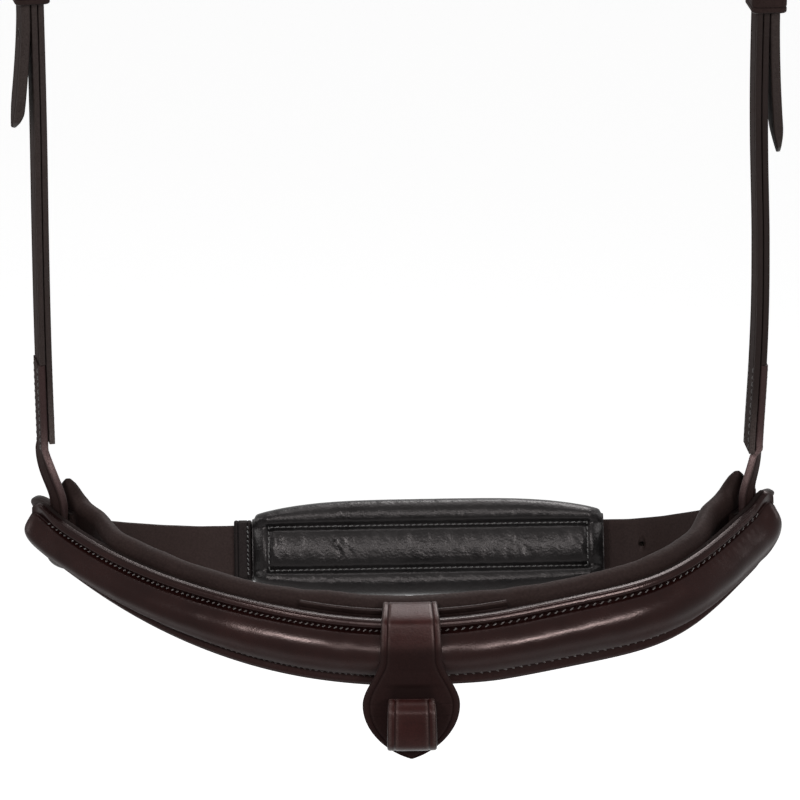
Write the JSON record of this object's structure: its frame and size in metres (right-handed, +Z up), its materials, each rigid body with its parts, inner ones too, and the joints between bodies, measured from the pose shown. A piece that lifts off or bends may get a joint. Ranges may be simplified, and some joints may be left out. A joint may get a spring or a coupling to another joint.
{
  "type": "padded flash noseband bridle",
  "caption": "Dark brown padded noseband with a flash loop in front and a padded chin strap behind, hung by two buckled cheek straps from a strap over the poll.",
  "frame": {"origin": "middle of the headpiece's flat underside at its crown, where it rests on the horse's poll", "axes": "+Z up along the cheek straps, -Y forward to the front of the noseband, +X to the right as the front is seen"},
  "size_m": [0.2745, 0.14, 0.4406],
  "materials": {
    "brown_leather": "waxed, very dark brown",
    "red_brown_leather": "waxed, dark reddish brown",
    "black_leather": "soft, semi-matt black",
    "lining_leather": "soft, polished by wear, dark brown",
    "foam": "matt grey filling, hidden",
    "cord_filler": "matt wound cord, hidden",
    "steel": "polished stainless steel"
  },
  "bodies": {
    "headstall": {"headpiece_strap": "brown_leather", "cheek_strap_left": "brown_leather", "cheek_strap_right": "brown_leather", "cheek_left_buckle_frame": "steel", "cheek_right_buckle_frame": "steel", "fixed_keeper_left": "brown_leather", "fixed_keeper_right": "brown_leather", "hanger_loop_left": "brown_leather", "hanger_loop_right": "brown_leather"},
    "cheek_tongue_left": {"cheek_left_buckle_tongue": "steel"},
    "cheek_tongue_right": {"cheek_right_buckle_tongue": "steel"},
    "runner_left": {"runner_keeper_left": "brown_leather"},
    "runner_right": {"runner_keeper_right": "brown_leather"},
    "noseband": {"noseband_face": "brown_leather", "noseband_core": "cord_filler", "noseband_backing": "brown_leather", "noseband_lining_cover": "lining_leather", "noseband_lining_foam": "foam", "centre_bridge_strip": "lining_leather", "chin_strap_left": "brown_leather", "chin_strap_right": "brown_leather", "chin_buckle_frame": "steel"},
    "flash": {"flash_loop": "red_brown_leather", "flash_tab_backing": "red_brown_leather", "flash_keeper": "red_brown_leather"},
    "chin_pad": {"chin_pad_cover": "black_leather", "chin_pad_filling": "foam", "chin_pad_backing": "black_leather", "chin_pad_keeper_left": "black_leather", "chin_pad_keeper_right": "black_leather", "chin_pad_end_keeper": "black_leather"},
    "chin_tongue": {"chin_buckle_tongue": "steel"}
  },
  "joints": [
    {"name": "noseband_swing", "type": "hinge", "parent": "headstall", "child": "noseband", "pos_m": [0, 0, -0.35785], "axis": [1, 0, 0], "range_deg": [-10, 10], "deforming": ["hanger_loop_left", "hanger_loop_right"]},
    {"name": "flash_slide", "type": "hinge", "parent": "noseband", "child": "flash", "pos_m": [0, 0.06721, -0.3613], "axis": [0, -0.307, 0.9517], "range_deg": [-6, 6]},
    {"name": "chin_pad_slide", "type": "slide", "parent": "noseband", "child": "chin_pad", "axis": [0.9998, 0.0077, 0.0157], "range_m": [-0.006, 0.006]},
    {"name": "chin_tongue_lift", "type": "hinge", "parent": "noseband", "child": "chin_tongue", "pos_m": [0.0082, 0.04972, -0.40825], "axis": [-0.0175, 0.4383, 0.8987], "range_deg": [0, 8]},
    {"name": "cheek_tongue_left_lift", "type": "hinge", "parent": "headstall", "child": "cheek_tongue_left", "pos_m": [-0.12459, 0.00037, -0.14435], "axis": [0.225, -0.9744, 0], "range_deg": [0, 8]},
    {"name": "cheek_tongue_right_lift", "type": "hinge", "parent": "headstall", "child": "cheek_tongue_right", "pos_m": [0.12096, -0.00014, -0.14435], "axis": [-0.0872, 0.9962, 0], "range_deg": [0, 8]},
    {"name": "runner_left_slide", "type": "slide", "parent": "headstall", "child": "runner_left", "axis": [0, 0, 1], "range_m": [-0.009, 0.0018]},
    {"name": "runner_right_slide", "type": "slide", "parent": "headstall", "child": "runner_right", "axis": [0, 0, 1], "range_m": [-0.009, 0.0048]}
  ]
}
